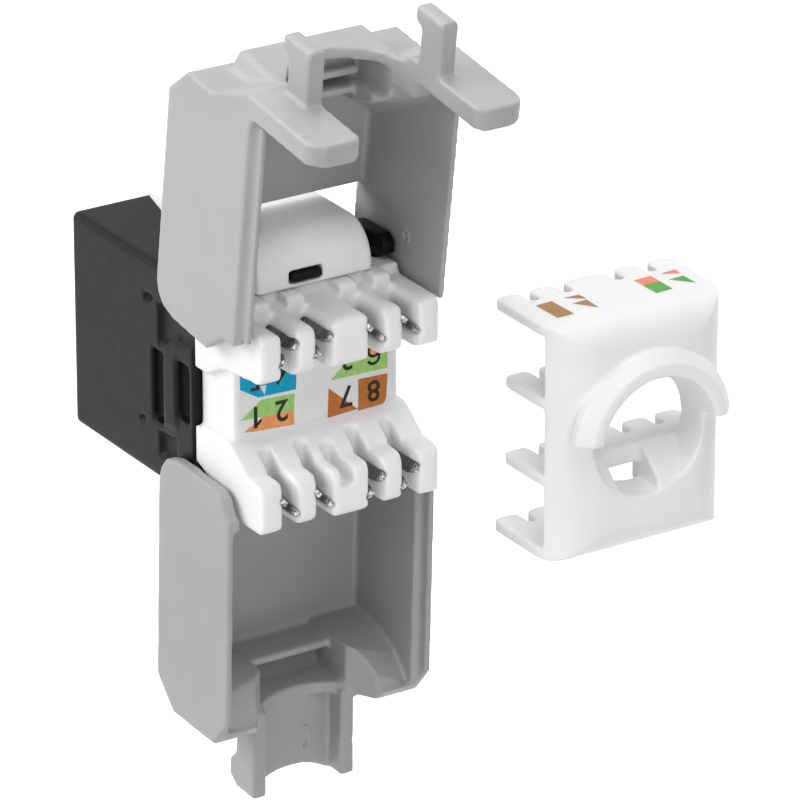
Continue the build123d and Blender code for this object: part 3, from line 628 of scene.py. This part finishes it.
# Ink, lift and corners of each print on the label
LABEL_FIELDS = {
    "print_blue": ("blue", FIELD_LIFT, [(-6.2, 2.9), (-6.2, 1.83), (-4.76, 0.95),
                                        (-1.72, 0.86), (-1.64, 2.9)]),
    "print_blue_gap": ("white_film", GAP_LIFT, [(-4.62, 1.75), (-4.24, 1.01), (-4.1, 1.75)]),
    "print_green_1": ("green", FIELD_LIFT, [(-6.2, -0.48), (-4.51, 0.72), (-1.85, 0.6),
                                            (-1.88, -0.66), (-4.42, -0.58), (-5.12, -0.51)]),
    "print_orange_1": ("orange", FIELD_LIFT, [(-5.93, -1.4), (-4.42, -0.6), (-1.88, -0.67),
                                              (-1.88, -1.74), (-5.23, -1.52)]),
    "print_orange_3": ("orange", FIELD_LIFT, [(2.9, 2.9), (2.4, 2.03), (5.72, 1.90),
                                              (5.72, 2.9)]),
    "print_green_3": ("green", FIELD_LIFT, [(1.09, 0.88), (2.4, 2.02), (5.72, 1.89),
                                            (5.72, 0.78), (3.68, 0.82)]),
    "print_brown_7": ("brown", FIELD_LIFT, [(0.91, 0.33), (0.82, -1.88), (3.26, -1.77)]),
    "print_brown_8": ("brown", FIELD_LIFT, [(3.32, 0.44), (5.72, 0.35), (5.60, -1.45),
                                            (5.5, -1.7), (5.3, -1.87), (3.31, -1.93)]),
}
for name, (colour, lift, corners) in LABEL_FIELDS.items():
    label_field(name, colour, corners, lift)

# Number and its place in X and Z
for number, x, z in ((1, -4.98, -0.50), (2, -2.88, -0.48), (7, 2.30, -0.60), (8, 4.58, -0.71),
                     (5, -5.0, 2.3), (4, -2.9, 2.35), (3, 2.45, 2.13)):
    digit(number, x, z)
six(4.55, 2.04)
label_field("wire_number_1_flag", "black",
            [(-4.98, -1.30), (-4.5, -0.90), (-4.5, -0.66), (-4.98, -1.02)], NUMBER_LIFT)

# Ink and corners of each print on the wire cap
CAP_FIELDS = {
    "cap_print_brown_1": ("cap_brown", [(-5.57, -2.75), (-4.21, -2.7), (-4.14, -5.34),
                                        (-5.5, -5.38)]),
    "cap_print_brown_2": ("cap_brown", [(-3.27, -2.66), (-2.01, -2.72), (-1.95, -3.6)]),
    "cap_print_brown_3": ("cap_brown", [(-3.24, -3.78), (-2.04, -3.74), (-2.1, -5.32)]),
    "cap_print_orange_1": ("cap_orange", [(2.6, -2.62), (4.02, -2.58), (4.02, -3.68),
                                          (2.62, -3.7)]),
    "cap_print_green_1": ("cap_green", [(2.62, -3.72), (4.02, -3.7), (4.02, -5.27),
                                        (2.62, -5.35)]),
    "cap_print_orange_2": ("cap_orange", [(4.83, -2.6), (6.09, -2.5), (6.03, -3.3)]),
    "cap_print_green_2": ("cap_green", [(4.73, -3.79), (5.95, -3.71), (5.97, -5.25)]),
}
for name, (colour, corners) in CAP_FIELDS.items():
    cap_field(name, colour, corners)


# Small marks that the mould leaves

RING_STEPS = (32, 8)
CRESCENT_STEPS = 20
CRESCENT_HALF_DEG = 62
PIN_AT = (7.5, -20.78, 10.07)
GATE_X = 6.75


def ring_mark(name, body, centre, normal, radius, tube):
    """Low round bead where an ejector pin or the gate met the piece."""
    turn = Vector(normal).to_track_quat("Z", "Y").to_matrix().to_4x4()
    place = Matrix.Translation(Vector(centre) * MM) @ turn
    around, section = RING_STEPS
    verts = []
    for i in range(around):
        a = 2 * math.pi * i / around
        for j in range(section):
            b = 2 * math.pi * j / section
            r = radius + tube * math.cos(b)
            spot = Vector((r * math.cos(a), r * math.sin(a), 0.5 * tube * math.sin(b)))
            verts.append(place @ (spot * MM))
    faces = []
    for i in range(around):
        for j in range(section):
            k, m = (i + 1) % around, (j + 1) % section
            faces.append((i * section + j, k * section + j, k * section + m, i * section + m))
    obj = add_mesh(name, verts, faces, MATS["grey"], body)
    for face in obj.data.polygons:
        face.use_smooth = True


def crescent_mark(name, body, x, y, z, radius, width, rise):
    """Shallow crescent that a worn ejector pin leaves, standing off the tongue."""
    steps = CRESCENT_STEPS
    verts = []
    for i in range(steps + 1):
        a = math.radians(-CRESCENT_HALF_DEG + 2 * CRESCENT_HALF_DEG * i / steps)
        thick = width * math.cos(math.radians(-90 + 180 * i / steps)) + 0.01
        for r, lift in ((radius - thick, 0.02), (radius, rise), (radius + 0.03, 0.02)):
            verts.append(Vector((x + r * math.cos(a), y - lift, z + r * math.sin(a))) * MM)
    faces = [(3 * i + j, 3 * i + j + 1, 3 * i + j + 4, 3 * i + j + 3)
             for i in range(steps) for j in range(2)]
    add_mesh(name, verts, faces, MATS["grey_low"], body)


ring_mark("ejector_mark_wall", "upper_flap", PIN_AT, (-1, 0, 0), 0.40, 0.15)
ring_mark("ejector_mark_wall_pip", "upper_flap", PIN_AT, (-1, 0, 0), 0.12, 0.07)
for name, x in (("gate_mark_left", -GATE_X), ("gate_mark_right", GATE_X)):
    ring_mark(name, "upper_flap", (x, -34.53, 23.55), (0, -0.99, -0.14), 0.5, 0.07)
crescent_mark("ejector_mark_tongue", "lower_flap", 0.45, -17.5, -27.9, 1.05, 0.24, 0.14)

make_camera()
world()
backdrop()
lights()
bpy.context.scene.view_settings.view_transform = "Standard"
